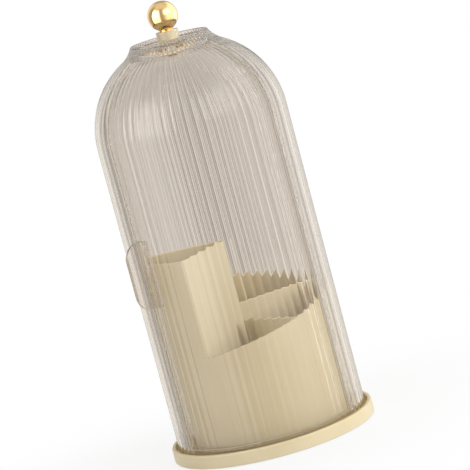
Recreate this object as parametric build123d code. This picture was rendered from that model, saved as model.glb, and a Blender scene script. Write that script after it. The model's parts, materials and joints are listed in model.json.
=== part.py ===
from build123d import *
import os
from math import cos, radians, sin, sqrt

# Rotating brush holder: a five-pocket tub on a ball turntable, under a reeded clear
# cover whose front door slides round inside it.  All sizes are millimetres.
# The origin is the centre of the surface the holder stands on, +Z is up and -Y is the
# front.  An azimuth is counted from the front (-Y) towards the right (+X).

# Radial chain, from the cover outwards to the base and inwards to the tub
cover_radius = 67.7
rim_gap = 2.0
rim_wall = 2.8
cover_wall = 2.2
door_clearance = 0.6
door_wall = 2.0
tub_clearance = 5.5
tub_wall = 2.2

# Reeds on the outside of the cover and the door
reed_count = 64
reed_depth = 0.35
reed_run_out = 0.3

# Fits, and how far a cut runs past what it cuts
running_clearance = 0.05
thread_clearance = 0.02
cut_over = 2.0

# Base: tray, closing plate, feet and their screws
foot_proud = 0.6
foot_radius = 7.0
foot_recess = 0.8
foot_inset = 15.7
foot_count = 4
plate_wall = 1.6
plate_clearance = 0.3
plate_screw_inset = 7.7
plate_screw_count = 4
plate_boss_radius = 4.0
deck_hollow = 0.8
deck_wall = 2.0
rim_rise = 5.0
skirt_wall = 2.5
rim_edge_radius = 1.8
rim_inner_edge = 0.8
locating_wall = 1.6
locating_height = 3.0
locating_clearance = 0.3

# Ball bearing between the tray and the turntable
ball_radius = 2.5
ball_count = 12
ball_inset = 10.0
ball_play = 0.1
groove_depth = 0.7
cage_wall = 1.6
cage_width = 8.0

# Centre pivot of the turntable
pivot_radius = 2.0
pivot_head_radius = 3.8
pivot_head_height = 2.4
pivot_head_gap = 0.4
pivot_washer_wall = 0.6
pivot_washer_radius = 5.0
pivot_hub_radius = 9.2
pivot_recess_radius = 6.6
bush_wall = 1.4
bush_flange = 1.6
bush_flange_height = 0.4

# Turntable plate and the screws that hold the tub to it
turntable_clearance = 5.2
turntable_wall = 2.4
turntable_boss_wall = 2.4
turntable_boss_height = 6.0
turntable_boss_cap = 1.2
tub_screw_count = 3
tub_screw_circle = 7.9
tub_screw_radius = 1.4
tub_screw_length = 10.0
screw_hole_clearance = 0.2

# Tub and its dividers
tub_floor = 2.2
tub_ground_gap = 0.8
tall_height = 131.1
low_height = 60.6
rim_climb = 0.17
pocket_count = 5
first_divider_azimuth = -33.0
divider_wall = 1.8
divider_gap = 0.1
hub_radius = 13.0
hub_wall = 2.0
hub_height = 14.0
hub_edge_radius = 3.0
hub_post_radius = 2.6

# Cover: straight wall, dome, crown and the door window
cover_straight = 222.4
dome_radius = 62.5
crown_rise = 63.6
neck_radius = 27.4
neck_fillet = 20.0
crown_recess = 3.0
crown_edge_radius = 0.8
boss_radius = 7.8
boss_height = 7.8
boss_wall = 2.5
window_left_azimuth = -61.5
window_right_azimuth = 55.0
window_crown = 31.5
hoop_height = 7.5

# Door, its track and its grip
door_overlap_angle = 3.5
door_bottom_gap = 0.4
door_hub_radius = 12.0
track_web = 1.4
track_flange = 1.4
track_rise = 5.1
track_bond_gap = 0.05
tab_azimuth = -59.5
tab_wall = 2.0
tab_reach = 10.5
tab_height = 47.3
tab_bottom = 110.5
tab_corner = 11.0
tab_foot_wall = 1.2
tab_foot_width = 10.0
tab_slot_clearance = 0.1

# Door pivot under the crown
stud_radius = 2.5
stud_depth_in_knob = 6.0
stud_past_washer = 3.0
door_bush_wall = 1.2
washer_radius = 7.0
washer_wall = 0.6
nut_radius = 4.6
nut_height = 3.2
nut_dome = 1.8
nut_dome_share = 0.8
knob_radius = 10.6
collar_radius = 5.0
collar_height = 1.15
collar_groove = 0.5

# Small self-tapping screws under the base
tap_screw_radius = 1.25
tap_screw_length = 3.4
countersink_rise = 1.3
countersink_spread = 1.4
driver_slot_depth = 0.7
driver_slot_width = 0.7

# Places worked out from the sizes above
rim_inner_radius = cover_radius + rim_gap
base_radius = rim_inner_radius + rim_wall
cover_inner_radius = cover_radius - cover_wall
door_radius = cover_inner_radius - door_clearance
door_inner_radius = door_radius - door_wall
tub_radius = door_inner_radius - tub_clearance
tub_inner_radius = tub_radius - tub_wall
track_radius = door_inner_radius - door_clearance
track_inner_radius = track_radius - track_flange
locating_radius = track_inner_radius - locating_clearance

plate_top = foot_proud + plate_wall
deck_underside = plate_top + deck_hollow
deck_top = deck_underside + deck_wall
rim_top = deck_top + rim_rise
plate_radius = base_radius - skirt_wall - plate_clearance
plate_screw_circle = plate_radius - plate_screw_inset
foot_circle = plate_radius - foot_inset

turntable_radius = tub_inner_radius - turntable_clearance
ball_circle = turntable_radius - ball_inset
race_radius = ball_radius + ball_play
ball_centre = deck_top - groove_depth + race_radius
turntable_bottom = ball_centre + race_radius - groove_depth
turntable_top = turntable_bottom + turntable_wall

pivot_head_bottom = plate_top + pivot_head_gap
pivot_head_top = pivot_head_bottom + pivot_head_height
pivot_recess_top = pivot_head_top + pivot_washer_wall
pivot_hub_top = turntable_bottom - bush_flange_height
bush_radius = pivot_radius + running_clearance + bush_wall
turntable_boss_radius = pivot_radius + turntable_boss_wall
turntable_boss_top = turntable_top + turntable_boss_height
pivot_tip = turntable_boss_top - turntable_boss_cap

floor_top = turntable_top + tub_floor
tall_top = floor_top + tall_height
low_top = floor_top + low_height
tub_bottom = deck_top + tub_ground_gap
pocket_angle = 360.0 / pocket_count
hub_top = floor_top + hub_height

shoulder = deck_top + cover_straight
dome_centre_radius = cover_radius + reed_run_out - dome_radius
crown_top = shoulder + crown_rise
crown_floor = crown_top - crown_recess
crown_underside = crown_floor - cover_wall
boss_top = crown_floor + boss_height
sleeve_radius = boss_radius - boss_wall
hoop_top = deck_top + hoop_height

track_top = deck_top + track_web
door_bottom = track_top + door_bottom_gap
door_crown_top = crown_underside - washer_wall
door_crown_bottom = door_crown_top - door_wall
nut_top = door_crown_bottom - washer_wall
stud_bottom = nut_top - stud_past_washer
knob_seat = boss_top + collar_height
knob_centre = knob_seat + sqrt(knob_radius**2 - collar_radius**2)


def at_azimuth(azimuth, shape):
    """Turns a shape that was drawn along +X to an azimuth."""
    return Rot(0, 0, azimuth - 90) * shape


def turned(points, arc=360.0):
    """Solid of revolution about Z from (radius, height) points, starting at +X."""
    face = make_face(Polyline(*points, close=True))
    return revolve(Plane.XZ * face, Axis.Z, arc)


def ring(inner, outer, bottom, top):
    """Plain ring; a disc when inner is 0."""
    return turned([(inner, bottom), (outer, bottom), (outer, top), (inner, top)])


def sector(inner, outer, bottom, top, start, end):
    """Ring cut down to the azimuths from start to end."""
    points = [(inner, bottom), (outer, bottom), (outer, top), (inner, top)]
    return at_azimuth(start, turned(points, end - start))


def on_circle(radius, count, shape, first=0.0):
    """Copies of a shape spaced evenly on a circle."""
    return [Rot(0, 0, first + i * 360.0 / count) * Pos(radius, 0, 0) * shape for i in range(count)]


def arc_reach(radius, height):
    """Distance from the axis at which a dome arc passes a height."""
    return dome_centre_radius + sqrt(radius**2 - (height - shoulder) ** 2)


def neck_centre():
    """Centre of the hollow arc that touches the dome and ends at the crown's lip."""
    run = neck_radius - dome_centre_radius
    span = sqrt(run**2 + crown_rise**2)
    reach = dome_radius + neck_fillet
    along = (span**2 + reach**2 - neck_fillet**2) / (2 * span)
    aside = sqrt(reach**2 - along**2)
    return (
        dome_centre_radius + (along * run + aside * crown_rise) / span,
        shoulder + (along * crown_rise - aside * run) / span,
    )


def corners_at(face, axis, place):
    """Corners of a flat outline that lie at one place along an axis."""
    return face.vertices().filter_by_position(axis, place - 0.001, place + 0.001)


def arc_between(radius, start, end):
    """Dome arc from one (radius, height) point to another."""
    mid_r = (start[0] + end[0]) / 2 - dome_centre_radius
    mid_z = (start[1] + end[1]) / 2 - shoulder
    stretch = radius / sqrt(mid_r**2 + mid_z**2)
    middle = (dome_centre_radius + mid_r * stretch, shoulder + mid_z * stretch)
    return ThreePointArc(start, middle, end)


def reeded_column(crest, bottom, top):
    """Solid column whose side is a run of convex reeds."""
    step = 360.0 / reed_count
    valley = crest - reed_depth
    arcs = []
    for i in range(reed_count):
        left, middle, right = radians(i * step), radians((i + 0.5) * step), radians((i + 1) * step)
        start = (valley * cos(left), valley * sin(left))
        peak = (crest * cos(middle), crest * sin(middle))
        end = (valley * cos(right), valley * sin(right))
        arcs.append(ThreePointArc(start, peak, end))
    return extrude(Pos(0, 0, bottom) * make_face(arcs), top - bottom)


def race_groove():
    """Ring of ball section that cuts the races."""
    face = Plane.XZ * Pos(ball_circle, ball_centre) * Circle(race_radius)
    return revolve(face, Axis.Z)


def countersunk_screw(radius, length):
    """Screw that stands on its head at z 0 and points up."""
    head = radius + countersink_spread
    body = turned([(0, 0), (head, 0), (radius, countersink_rise), (radius, length), (0, length)])
    slot = Box(2 * head + cut_over, driver_slot_width, 2 * driver_slot_depth)
    return body - slot


def countersunk_hole(radius, length):
    """Cut for a countersunk screw, opened by the hole clearance."""
    head = radius + countersink_spread + screw_hole_clearance
    shank = radius + screw_hole_clearance
    return turned([(0, 0), (head, 0), (shank, countersink_rise), (shank, length), (0, length)])


def make_base_tray():
    """Moulded base with its rim, locating ring, lower race and pivot hub."""
    face = make_face(
        Polyline(
            (0, deck_underside),
            (base_radius - skirt_wall, deck_underside),
            (base_radius - skirt_wall, foot_proud),
            (base_radius, foot_proud),
            (base_radius, rim_top),
            (rim_inner_radius, rim_top),
            (rim_inner_radius, deck_top),
            (0, deck_top),
            close=True,
        )
    )
    outer = corners_at(face, Axis.Y, rim_top).sort_by(Axis.X)[-1]
    face = fillet(outer, rim_edge_radius)
    inner = corners_at(face, Axis.X, rim_inner_radius).sort_by(Axis.Y)[-1]
    face = fillet(inner, rim_inner_edge)
    tray = revolve(Plane.XZ * face, Axis.Z)
    tray += ring(locating_radius - locating_wall, locating_radius, deck_top, deck_top + locating_height)
    tray += ring(0, pivot_hub_radius, deck_underside, pivot_hub_top)
    boss = ring(0, plate_boss_radius, plate_top, deck_underside)
    for foot in on_circle(plate_screw_circle, plate_screw_count, boss):
        tray += foot
    tray -= ring(0, pivot_recess_radius, plate_top, pivot_recess_top)
    tray -= ring(0, bush_radius, 0, rim_top)
    tray -= race_groove()
    hole = ring(0, tap_screw_radius + thread_clearance, foot_proud, foot_proud + tap_screw_length)
    for cut in on_circle(plate_screw_circle, plate_screw_count, hole):
        tray -= cut
    return tray


def make_base_plate():
    """Closing plate under the tray, with pockets for the feet."""
    plate = ring(0, plate_radius, foot_proud, plate_top)
    pocket = ring(0, foot_radius, 0, foot_proud + foot_recess)
    for cut in on_circle(foot_circle, foot_count, pocket, 45.0):
        plate -= cut
    hole = Pos(0, 0, foot_proud) * countersunk_hole(tap_screw_radius, plate_wall)
    for cut in on_circle(plate_screw_circle, plate_screw_count, hole):
        plate -= cut
    return plate


def make_foot_pads():
    """Soft feet, one in each pocket."""
    pad = ring(0, foot_radius, 0, foot_proud + foot_recess)
    pad = fillet(pad.edges().group_by(Axis.Z)[0], foot_proud / 2)
    return Compound(on_circle(foot_circle, foot_count, pad, 45.0))


def make_base_screws():
    """Small screws that hold the closing plate."""
    screw = Pos(0, 0, foot_proud) * countersunk_screw(tap_screw_radius, tap_screw_length)
    return Compound(on_circle(plate_screw_circle, plate_screw_count, screw))


def make_pivot_bush():
    """Flanged sleeve pressed into the tray's hub."""
    bore = pivot_radius + running_clearance
    sleeve = ring(bore, bush_radius, pivot_recess_top, pivot_hub_top)
    return sleeve + ring(bore, bush_radius + bush_flange, pivot_hub_top, turntable_bottom)


def make_bearing_balls():
    """Ring of balls that carries the turntable."""
    ball = Pos(0, 0, ball_centre) * Sphere(ball_radius)
    return Compound(on_circle(ball_circle, ball_count, ball))


def make_ball_cage():
    """Flat ring that keeps the balls apart."""
    bottom = ball_centre - cage_wall / 2
    cage = ring(ball_circle - cage_width / 2, ball_circle + cage_width / 2, bottom, bottom + cage_wall)
    pocket = ring(0, race_radius, bottom - cut_over, bottom + cage_wall + cut_over)
    for cut in on_circle(ball_circle, ball_count, pocket):
        cage -= cut
    return cage


def make_turntable():
    """Upper race plate with the boss that the pivot screw enters."""
    plate = ring(0, turntable_radius, turntable_bottom, turntable_top)
    plate += ring(0, turntable_boss_radius, turntable_top, turntable_boss_top)
    plate -= ring(0, pivot_radius + thread_clearance, 0, pivot_tip)
    plate -= race_groove()
    hole = Pos(0, 0, turntable_bottom) * countersunk_hole(tub_screw_radius, turntable_wall)
    for cut in on_circle(tub_screw_circle, tub_screw_count, hole):
        plate -= cut
    return plate


def make_pivot_screw():
    """Shouldered screw that holds the turntable down on its balls."""
    head = ring(0, pivot_head_radius, pivot_head_bottom, pivot_head_top)
    head = fillet(head.edges().group_by(Axis.Z)[0], pivot_head_height / 3)
    slot = Box(2 * pivot_head_radius + cut_over, driver_slot_width, 2 * driver_slot_depth)
    head -= Pos(0, 0, pivot_head_bottom) * slot
    return head + ring(0, pivot_radius, pivot_head_top, pivot_tip)


def make_pivot_washer():
    """Washer between the pivot screw's head and the tray."""
    return ring(pivot_radius + running_clearance, pivot_washer_radius, pivot_head_top, pivot_recess_top)


def make_tub_screws():
    """Screws from under the turntable, through the tub floor into the divider hub."""
    screw = Pos(0, 0, turntable_bottom) * countersunk_screw(tub_screw_radius, tub_screw_length)
    return Compound(on_circle(tub_screw_circle, tub_screw_count, screw))


def make_tub_shell():
    """Tub with one tall pocket front and a rim that climbs round from the low side."""
    tub = ring(tub_inner_radius, tub_radius, tub_bottom, tall_top)
    tub += ring(0, tub_radius, turntable_top, floor_top)
    climb_arc = 360.0 - pocket_angle
    reach = tub_wall + 2 * cut_over
    middle = (tub_radius + tub_inner_radius) / 2
    path = Helix(rim_climb * 360.0, rim_climb * climb_arc, middle)
    cut_height = tall_top - low_top + cut_over
    blank = Plane.XZ * Pos(middle, cut_height / 2) * Rectangle(reach, cut_height)
    above = sweep(blank, path, is_frenet=True)
    tub -= at_azimuth(first_divider_azimuth, Pos(0, 0, low_top) * above)
    tub -= ring(0, turntable_boss_radius + screw_hole_clearance, 0, floor_top + cut_over)
    hole = ring(0, tub_screw_radius + screw_hole_clearance, 0, floor_top + cut_over)
    for cut in on_circle(tub_screw_circle, tub_screw_count, hole):
        tub -= cut
    return tub


def divider_height(index):
    """Height of a divider above the floor, level with the rim beside it."""
    if index in (0, pocket_count - 1):
        return tall_height
    return low_height + rim_climb * pocket_angle * index


def make_divider_insert():
    """Radial dividers on a hollow hub that covers the pivot and its screws."""
    hub = turned([(0, floor_top), (hub_radius, floor_top), (hub_radius, hub_top), (0, hub_top)])
    hub = fillet(hub.edges().group_by(Axis.Z)[-1], hub_edge_radius)
    length = tub_inner_radius - divider_gap
    insert = hub
    for index in range(pocket_count):
        height = divider_height(index)
        wall = Pos(length / 2, 0, floor_top + height / 2) * Box(length, divider_wall, height)
        insert += at_azimuth(first_divider_azimuth + index * pocket_angle, wall)
    insert &= ring(0, length, floor_top, tall_top)
    insert -= ring(0, hub_radius - hub_wall, 0, hub_top - hub_wall)
    leg = ring(0, hub_post_radius, floor_top, hub_top - hub_wall)
    for stud in on_circle(tub_screw_circle, tub_screw_count, leg):
        insert += stud
    screw_top = turntable_bottom + tub_screw_length
    hole = ring(0, tub_screw_radius + thread_clearance, turntable_bottom, screw_top)
    for cut in on_circle(tub_screw_circle, tub_screw_count, hole):
        insert -= cut
    return insert


def make_cover_shell():
    """Fixed shell: reeded wall, dome, crown with its boss, window and foot hoop."""
    outer = dome_radius
    inner = cover_inner_radius - dome_centre_radius
    neck_r, neck_z = neck_centre()
    share = outer / (outer + neck_fillet)
    leave = (
        dome_centre_radius + (neck_r - dome_centre_radius) * share,
        shoulder + (neck_z - shoulder) * share,
    )
    land = (neck_radius, crown_top)
    half_r = (leave[0] + land[0]) / 2 - neck_r
    half_z = (leave[1] + land[1]) / 2 - neck_z
    stretch = neck_fillet / sqrt(half_r**2 + half_z**2)
    bite = (neck_r + half_r * stretch, neck_z + half_z * stretch)
    wall = cover_radius + reed_run_out
    ceiling = arc_reach(inner, crown_underside)
    bore = stud_radius + running_clearance
    socket = sleeve_radius + running_clearance
    lip = neck_radius - cover_wall
    edges = [
        Line((cover_inner_radius, deck_top), (wall, deck_top)),
        Line((wall, deck_top), (wall, shoulder)),
        arc_between(outer, (wall, shoulder), leave),
        ThreePointArc(leave, bite, land),
        Polyline(
            land,
            (lip, crown_top),
            (lip, crown_floor),
            (boss_radius, crown_floor),
            (boss_radius, boss_top),
            (socket, boss_top),
            (socket, crown_floor),
            (bore, crown_floor),
            (bore, crown_underside),
            (ceiling, crown_underside),
        ),
        arc_between(inner, (ceiling, crown_underside), (cover_inner_radius, shoulder)),
        Line((cover_inner_radius, shoulder), (cover_inner_radius, deck_top)),
    ]
    face = make_face(edges)
    face = fillet(corners_at(face, Axis.Y, crown_top), crown_edge_radius)
    shell = revolve(Plane.XZ * face, Axis.Z)
    shell &= reeded_column(cover_radius, deck_top, boss_top + cut_over)
    window = (window_left_azimuth, window_right_azimuth)
    return shell - sector(window_crown, base_radius, hoop_top, boss_top, *window)


def make_door_shell():
    """Sliding door: the same curve inside the cover, hung from a hub under the crown."""
    outer = door_radius - dome_centre_radius
    inner = door_inner_radius - dome_centre_radius
    top = arc_reach(outer, door_crown_top)
    under = arc_reach(inner, door_crown_bottom)
    edges = [
        Line((door_inner_radius, door_bottom), (door_radius, door_bottom)),
        Line((door_radius, door_bottom), (door_radius, shoulder)),
        arc_between(outer, (door_radius, shoulder), (top, door_crown_top)),
        Polyline(
            (top, door_crown_top),
            (0, door_crown_top),
            (0, door_crown_bottom),
            (under, door_crown_bottom),
        ),
        arc_between(inner, (under, door_crown_bottom), (door_inner_radius, shoulder)),
        Line((door_inner_radius, shoulder), (door_inner_radius, door_bottom)),
    ]
    start = window_left_azimuth - door_overlap_angle
    width = window_right_azimuth + door_overlap_angle - start
    door = at_azimuth(start, revolve(Plane.XZ * make_face(edges), Axis.Z, width))
    door += ring(0, door_hub_radius, door_crown_bottom, door_crown_top)
    door &= reeded_column(door_radius - reed_run_out, door_bottom, door_crown_top + cut_over)
    eye = stud_radius + running_clearance + door_bush_wall
    door -= ring(0, eye, door_crown_bottom - cut_over, door_crown_top + cut_over)
    slot = Box(4 * door_wall, tab_wall + 2 * tab_slot_clearance, tab_height + 2 * tab_slot_clearance)
    door -= at_azimuth(tab_azimuth, Pos(door_radius, 0, deck_top + tab_bottom + tab_height / 2) * slot)
    return door


def make_door_tab():
    """Clear grip that passes through a slot in the door and is bonded inside it."""
    bottom = deck_top + tab_bottom
    root = door_inner_radius - tab_foot_wall / 2
    reach = cover_radius + tab_reach - root
    blank = Pos(root + reach / 2, bottom + tab_height / 2) * Rectangle(reach, tab_height)
    blank = fillet(blank.vertices().group_by(Axis.X)[-1], tab_corner)
    blade = extrude(Plane.XZ * blank, tab_wall / 2, both=True)
    foot = ring(door_inner_radius - tab_foot_wall, door_inner_radius, bottom, bottom + tab_height)
    foot &= Pos(root, 0, bottom + tab_height / 2) * Box(4 * tab_foot_wall, tab_foot_width, tab_height)
    return at_azimuth(tab_azimuth, blade + foot)


def make_door_track():
    """Ring bonded inside the cover's foot; its flange keeps the door's edge in line."""
    outer = cover_inner_radius - track_bond_gap
    web = ring(track_inner_radius, outer, deck_top, track_top)
    return web + ring(track_inner_radius, track_radius, track_top, track_top + track_rise)


def make_thrust_washer():
    """Washer between the crown and the door's hub."""
    return ring(stud_radius + running_clearance, washer_radius, door_crown_top, crown_underside)


def make_retaining_washer():
    """Washer between the door's hub and the nut."""
    return ring(stud_radius + running_clearance, washer_radius, nut_top, door_crown_bottom)


def make_door_bush():
    """Sleeve in the door's hub that turns on the stud."""
    bore = stud_radius + running_clearance
    return ring(bore, bore + door_bush_wall, door_crown_bottom, door_crown_top)


def make_pivot_nut():
    """Domed hexagon nut under the crown."""
    bottom = nut_top - nut_height
    flats = extrude(Pos(0, 0, bottom) * RegularPolygon(nut_radius, 6), nut_height)
    crown_radius = nut_radius * nut_dome_share
    crown = scale(Sphere(crown_radius), (1, 1, nut_dome / crown_radius))
    crown -= ring(0, nut_radius, 0, crown_radius)
    nut = flats + Pos(0, 0, bottom) * crown
    return nut - ring(0, stud_radius + thread_clearance, stud_bottom, nut_top + cut_over)


def make_stud_sleeve():
    """Ivory sleeve round the stem, seen through the cover's clear boss."""
    return ring(stud_radius + running_clearance, sleeve_radius, crown_floor, boss_top)


def make_knob_stud():
    """Threaded stem from the knob down to the nut."""
    return ring(0, stud_radius, stud_bottom, knob_seat + stud_depth_in_knob)


def make_knob_collar():
    """Short neck between the cover's boss and the knob."""
    waist = collar_radius - collar_groove
    middle = (boss_top + knob_seat) / 2
    bore = stud_radius + thread_clearance
    face = make_face(
        [
            Polyline((waist, middle), (collar_radius, knob_seat), (bore, knob_seat), (bore, boss_top)),
            Line((bore, boss_top), (collar_radius, boss_top)),
            Line((collar_radius, boss_top), (waist, middle)),
        ]
    )
    return revolve(Plane.XZ * face, Axis.Z)


def make_knob_ball():
    """Round knob, flat where it sits on its collar and tapped for the stud."""
    ball = Pos(0, 0, knob_centre) * Sphere(knob_radius)
    ball -= ring(0, knob_radius, boss_top - knob_radius, knob_seat)
    return ball - ring(0, stud_radius + thread_clearance, boss_top, knob_seat + stud_depth_in_knob)


parts = {
    "base_tray": make_base_tray,
    "base_plate": make_base_plate,
    "base_screws": make_base_screws,
    "foot_pads": make_foot_pads,
    "pivot_bush": make_pivot_bush,
    "bearing_balls": make_bearing_balls,
    "ball_cage": make_ball_cage,
    "turntable_plate": make_turntable,
    "pivot_screw": make_pivot_screw,
    "pivot_washer": make_pivot_washer,
    "tub_shell": make_tub_shell,
    "divider_insert": make_divider_insert,
    "tub_screws": make_tub_screws,
    "cover_shell": make_cover_shell,
    "door_track": make_door_track,
    "thrust_washer": make_thrust_washer,
    "retaining_washer": make_retaining_washer,
    "pivot_nut": make_pivot_nut,
    "knob_stud": make_knob_stud,
    "stud_sleeve": make_stud_sleeve,
    "knob_collar": make_knob_collar,
    "knob_ball": make_knob_ball,
    "door_shell": make_door_shell,
    "door_tab": make_door_tab,
    "door_bush": make_door_bush,
}

os.makedirs("parts", exist_ok=True)
for name, make in parts.items():
    export_step(make(), f"parts/{name}.step")
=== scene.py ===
# %% [markdown]
# A rotating brush holder: an ivory tub turns on a ball race in a round base, under a tall clear
# cover with fine reeds, a sliding door and a gold ball for a knob.
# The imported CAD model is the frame.  It could be shown as it is, but a moulded object has soft
# edges, reeds that run up its dome and real finishes, so most pieces are made again here, in the
# same places and sizes, and ride on the CAD bodies.

# %% Load the frame
import json
from math import acos, asin, atan2, cos, degrees, hypot, pi, radians, sin, sqrt

import bmesh
import bpy
from mathutils import Matrix, Vector


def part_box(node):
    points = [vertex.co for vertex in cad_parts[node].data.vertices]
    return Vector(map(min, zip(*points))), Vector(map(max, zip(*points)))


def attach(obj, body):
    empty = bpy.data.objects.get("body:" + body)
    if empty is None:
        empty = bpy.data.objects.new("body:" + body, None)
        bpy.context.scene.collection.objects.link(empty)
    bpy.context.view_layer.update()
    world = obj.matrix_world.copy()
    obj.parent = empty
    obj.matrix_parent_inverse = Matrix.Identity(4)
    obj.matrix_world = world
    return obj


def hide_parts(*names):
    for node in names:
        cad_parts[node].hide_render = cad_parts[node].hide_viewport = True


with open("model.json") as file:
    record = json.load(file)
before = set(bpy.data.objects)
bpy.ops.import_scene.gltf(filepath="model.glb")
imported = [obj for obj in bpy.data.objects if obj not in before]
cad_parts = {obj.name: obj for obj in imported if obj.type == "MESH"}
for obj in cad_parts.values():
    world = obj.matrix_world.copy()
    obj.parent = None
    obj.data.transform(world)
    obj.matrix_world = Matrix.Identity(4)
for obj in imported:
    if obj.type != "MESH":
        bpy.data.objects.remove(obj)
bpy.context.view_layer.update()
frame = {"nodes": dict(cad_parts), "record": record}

nodes = frame["nodes"]
scene = bpy.context.scene
mm = 0.001

# %% [markdown]
# Every size starts from the frame, so that a change in the CAD carries through.  A box gives
# heights, and the farthest point from the axis gives radii: a box would fall short on a reeded
# wall, whose crests needn't lie on the X or Y axis.  Wall thicknesses and small rounds can't be
# read from a box, so they are named here in millimetres.


# %% Sizes from the frame
def reach(node):
    """Farthest distance of a CAD node from the vertical axis."""
    return max(hypot(v.co.x, v.co.y) for v in nodes[node].data.vertices)


def bottom_of(node):
    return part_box(node)[0].z


def top_of(node):
    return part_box(node)[1].z


base_radius = reach("base_tray")
cover_crest = reach("cover_shell")
door_crest = reach("door_shell")
tub_radius = reach("tub_shell")
deck_top = bottom_of("cover_shell")
boss_top = top_of("cover_shell")
tall_top = top_of("tub_shell")
cover_inner = cover_crest - 2.2 * mm
door_inner = door_crest - 1.7 * mm
tub_inner = tub_radius - 2.2 * mm
print("base radius", round(base_radius / mm, 2), "cover crest", round(cover_crest / mm, 2), "mm")

# %% [markdown]
# Most round pieces are turned: a half section goes round the axis.  Blender's Screw modifier
# could do that, but a few lines of mesh code also round the section's corners, close the poles
# and let a piece such as the hexagon nut trim its radius.  A mould or a lathe never leaves a
# knife edge, and it is the small rounds that catch the light.


# %% Half sections
on_axis = 1e-6


def soften(corners, steps=4):
    """Rounds the corners of a closed section; a corner is (radius, height, round in mm)."""
    most_of_edge = 0.45
    section = []
    for i, (r, z, size) in enumerate(corners):
        here = Vector((r, z))
        if size <= 0:
            section.append(here)
            continue
        before = Vector(corners[i - 1][:2]) - here
        after = Vector(corners[(i + 1) % len(corners)][:2]) - here
        size = min(size * mm, before.length * most_of_edge, after.length * most_of_edge)
        start = here + before.normalized() * size
        end = here + after.normalized() * size
        for s in range(steps + 1):
            t = s / steps
            section.append(start * (1 - t) ** 2 + here * 2 * t * (1 - t) + end * t**2)
    return section


def ring_section(inner, outer, bottom, top, size):
    """A ring's half section, with all four corners rounded."""
    return soften([(inner, bottom, size), (outer, bottom, size), (outer, top, size), (inner, top, size)])


def arc_points(centre_r, centre_z, radius, start, end, steps):
    """Points on an arc of a section; the angles are in degrees from level."""
    angles = [radians(start + (end - start) * s / steps) for s in range(steps + 1)]
    return [(centre_r + radius * cos(a), centre_z + radius * sin(a)) for a in angles]


def from_axis(points):
    """Sets points that are meant to lie on the axis exactly there."""
    return [(r if r > on_axis else 0, z) for r, z in points]


sample = ring_section(inner=1, outer=2, bottom=0, top=1, size=0.1)
print("a ring's section has", len(sample), "points")

# %% [markdown]
# A piece starts as a bmesh, Blender's editable kind of mesh, and ends as an object.  In between
# its doubles go, its faces turn outwards and it is shaded smooth, except across real corners.
# Modifiers do some of the work, but none stays: the evaluated result becomes the mesh, because
# a piece has to be plain before it joins the frame.


# %% From a bmesh to a finished piece
def add_object(name, data):
    piece = bpy.data.objects.new(name, data)
    scene.collection.objects.link(piece)
    return piece


def smooth(mesh, sharp_angle=40):
    """Smooth shading with sharp edges where faces meet at more than an angle in degrees."""
    mesh.shade_smooth()
    mesh.set_sharp_from_angle(angle=radians(sharp_angle))


def write_out(bm, mesh, sharp_angle):
    """Turns the faces of a closed shape outwards and writes it into a mesh."""
    bmesh.ops.recalc_face_normals(bm, faces=bm.faces)
    bm.to_mesh(mesh)
    bm.free()
    smooth(mesh, sharp_angle)


def close_up(bm, name, sharp_angle=40):
    """Merges doubles and makes the shape an object."""
    bmesh.ops.remove_doubles(bm, verts=bm.verts, dist=1e-7)
    bmesh.ops.dissolve_degenerate(bm, edges=bm.edges, dist=1e-8)
    mesh = bpy.data.meshes.new(name)
    write_out(bm, mesh, sharp_angle)
    return add_object(name, mesh)


def keep_result(piece, modifier):
    """Makes a modifier's result the plain mesh of its piece."""
    evaluated = piece.evaluated_get(bpy.context.evaluated_depsgraph_get())
    mesh = bpy.data.meshes.new_from_object(evaluated)
    piece.modifiers.remove(modifier)
    piece.data = mesh
    mesh.name = piece.name
    return piece


def with_modifier(piece, kind, **settings):
    """Runs one modifier on a piece."""
    modifier = piece.modifiers.new(kind.lower(), kind)
    for key, value in settings.items():
        setattr(modifier, key, value)
    return keep_result(piece, modifier)


def true_flats(piece):
    """Lets the large faces set the shading, so that a flat beside a round stays flat."""
    return with_modifier(piece, "WEIGHTED_NORMAL", keep_sharp=True, weight=100)


print("piece helpers ready")

# %% [markdown]
# Turning itself is a loop: one ring of points for each step round the axis, and a face between
# each two neighbours.  Where two points of the section lie on the axis there is no face to make.


# %% Turning
def turn_into(bm, section, turns, trim=None):
    """Adds a turned body to a bmesh; trim(angle, radius) may cut the radius back."""
    rings = []
    for j in range(turns):
        angle = 2 * pi * j / turns
        ring = []
        for r, z in section:
            r = trim(angle, r) if trim else r
            ring.append(bm.verts.new((r * cos(angle), r * sin(angle), z)))
        rings.append(ring)
    for j, ring in enumerate(rings):
        following = rings[(j + 1) % turns]
        for k in range(len(section)):
            after = (k + 1) % len(section)
            if max(section[k][0], section[after][0]) < on_axis:
                continue
            bm.faces.new((ring[k], following[k], following[after], ring[after]))


def turned(name, section, turns=128, trim=None, sharp_angle=40):
    """A closed piece from its half section."""
    bm = bmesh.new()
    turn_into(bm, section, turns, trim)
    return true_flats(close_up(bm, name, sharp_angle))


print("turning helpers ready")

# %% [markdown]
# The cover, the door and the tub are walls with openings.  A Boolean could cut the openings out
# of a full shell, but it leaves long thin faces that shade badly, above all in clear plastic.
# Here a wall is a grid of points outside and a matching grid inside: cells are left out where
# the wall is open, and the edge of every opening gets a small rounded nose, as polished
# edges have.  The result is one closed surface.


# %% Walls with openings
wall_sharp = 62


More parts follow.
